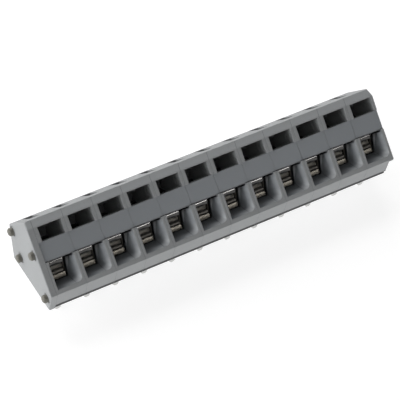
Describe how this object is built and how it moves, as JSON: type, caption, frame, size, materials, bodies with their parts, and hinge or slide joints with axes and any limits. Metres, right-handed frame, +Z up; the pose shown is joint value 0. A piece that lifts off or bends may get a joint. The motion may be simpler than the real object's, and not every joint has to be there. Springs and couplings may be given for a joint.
{
  "type": "pcb terminal block",
  "caption": "Strip of moulded spring-clamp poles for a circuit board, with slanted funnel wire entries, blade slots above them, solder pins below and an end plate.",
  "frame": {"origin": "on the board's top face, in the middle of the row of poles and halfway between the front lip and the rear shoulder", "axes": "+X along the row from the end plate to the free end, -Y the wire side, +Z up from the board"},
  "size_m": [0.0618, 0.014, 0.0163],
  "materials": {
    "housing": "moulded grey polyamide, fine matt",
    "contact": "tin-plated copper, dull",
    "spring": "chrome-nickel spring steel, half bright"
  },
  "bodies": {
    "block": {"end_plate": "housing", "pole_housing_01": "housing", "pole_housing_02": "housing", "pole_housing_03": "housing", "pole_housing_04": "housing", "pole_housing_05": "housing", "pole_housing_06": "housing", "pole_housing_07": "housing", "pole_housing_08": "housing", "pole_housing_09": "housing", "pole_housing_10": "housing", "pole_housing_11": "housing", "pole_housing_12": "housing", "contact_bar_01": "contact", "contact_bar_02": "contact", "contact_bar_03": "contact", "contact_bar_04": "contact", "contact_bar_05": "contact", "contact_bar_06": "contact", "contact_bar_07": "contact", "contact_bar_08": "contact", "contact_bar_09": "contact", "contact_bar_10": "contact", "contact_bar_11": "contact", "contact_bar_12": "contact"},
    "clamp_01": {"clamp_spring_01": "spring"},
    "clamp_02": {"clamp_spring_02": "spring"},
    "clamp_03": {"clamp_spring_03": "spring"},
    "clamp_04": {"clamp_spring_04": "spring"},
    "clamp_05": {"clamp_spring_05": "spring"},
    "clamp_06": {"clamp_spring_06": "spring"},
    "clamp_07": {"clamp_spring_07": "spring"},
    "clamp_08": {"clamp_spring_08": "spring"},
    "clamp_09": {"clamp_spring_09": "spring"},
    "clamp_10": {"clamp_spring_10": "spring"},
    "clamp_11": {"clamp_spring_11": "spring"},
    "clamp_12": {"clamp_spring_12": "spring"}
  },
  "joints": [
    {"name": "clamp_open_01", "type": "hinge", "parent": "block", "child": "clamp_01", "pos_m": [-0.02815, 0.00163, 0.00503], "axis": [1, 0, 0], "range_deg": [0, 15], "stiffness_Nm_per_rad": 0.2, "deforming": ["clamp_spring_01"]},
    {"name": "clamp_open_02", "type": "hinge", "parent": "block", "child": "clamp_02", "pos_m": [-0.02315, 0.00163, 0.00503], "axis": [1, 0, 0], "range_deg": [0, 15], "stiffness_Nm_per_rad": 0.2, "deforming": ["clamp_spring_02"]},
    {"name": "clamp_open_03", "type": "hinge", "parent": "block", "child": "clamp_03", "pos_m": [-0.01815, 0.00163, 0.00503], "axis": [1, 0, 0], "range_deg": [0, 15], "stiffness_Nm_per_rad": 0.2, "deforming": ["clamp_spring_03"]},
    {"name": "clamp_open_04", "type": "hinge", "parent": "block", "child": "clamp_04", "pos_m": [-0.01315, 0.00163, 0.00503], "axis": [1, 0, 0], "range_deg": [0, 15], "stiffness_Nm_per_rad": 0.2, "deforming": ["clamp_spring_04"]},
    {"name": "clamp_open_05", "type": "hinge", "parent": "block", "child": "clamp_05", "pos_m": [-0.00815, 0.00163, 0.00503], "axis": [1, 0, 0], "range_deg": [0, 15], "stiffness_Nm_per_rad": 0.2, "deforming": ["clamp_spring_05"]},
    {"name": "clamp_open_06", "type": "hinge", "parent": "block", "child": "clamp_06", "pos_m": [-0.00315, 0.00163, 0.00503], "axis": [1, 0, 0], "range_deg": [0, 15], "stiffness_Nm_per_rad": 0.2, "deforming": ["clamp_spring_06"]},
    {"name": "clamp_open_07", "type": "hinge", "parent": "block", "child": "clamp_07", "pos_m": [0.00185, 0.00163, 0.00503], "axis": [1, 0, 0], "range_deg": [0, 15], "stiffness_Nm_per_rad": 0.2, "deforming": ["clamp_spring_07"]},
    {"name": "clamp_open_08", "type": "hinge", "parent": "block", "child": "clamp_08", "pos_m": [0.00685, 0.00163, 0.00503], "axis": [1, 0, 0], "range_deg": [0, 15], "stiffness_Nm_per_rad": 0.2, "deforming": ["clamp_spring_08"]},
    {"name": "clamp_open_09", "type": "hinge", "parent": "block", "child": "clamp_09", "pos_m": [0.01185, 0.00163, 0.00503], "axis": [1, 0, 0], "range_deg": [0, 15], "stiffness_Nm_per_rad": 0.2, "deforming": ["clamp_spring_09"]},
    {"name": "clamp_open_10", "type": "hinge", "parent": "block", "child": "clamp_10", "pos_m": [0.01685, 0.00163, 0.00503], "axis": [1, 0, 0], "range_deg": [0, 15], "stiffness_Nm_per_rad": 0.2, "deforming": ["clamp_spring_10"]},
    {"name": "clamp_open_11", "type": "hinge", "parent": "block", "child": "clamp_11", "pos_m": [0.02185, 0.00163, 0.00503], "axis": [1, 0, 0], "range_deg": [0, 15], "stiffness_Nm_per_rad": 0.2, "deforming": ["clamp_spring_11"]},
    {"name": "clamp_open_12", "type": "hinge", "parent": "block", "child": "clamp_12", "pos_m": [0.02685, 0.00163, 0.00503], "axis": [1, 0, 0], "range_deg": [0, 15], "stiffness_Nm_per_rad": 0.2, "deforming": ["clamp_spring_12"]}
  ]
}
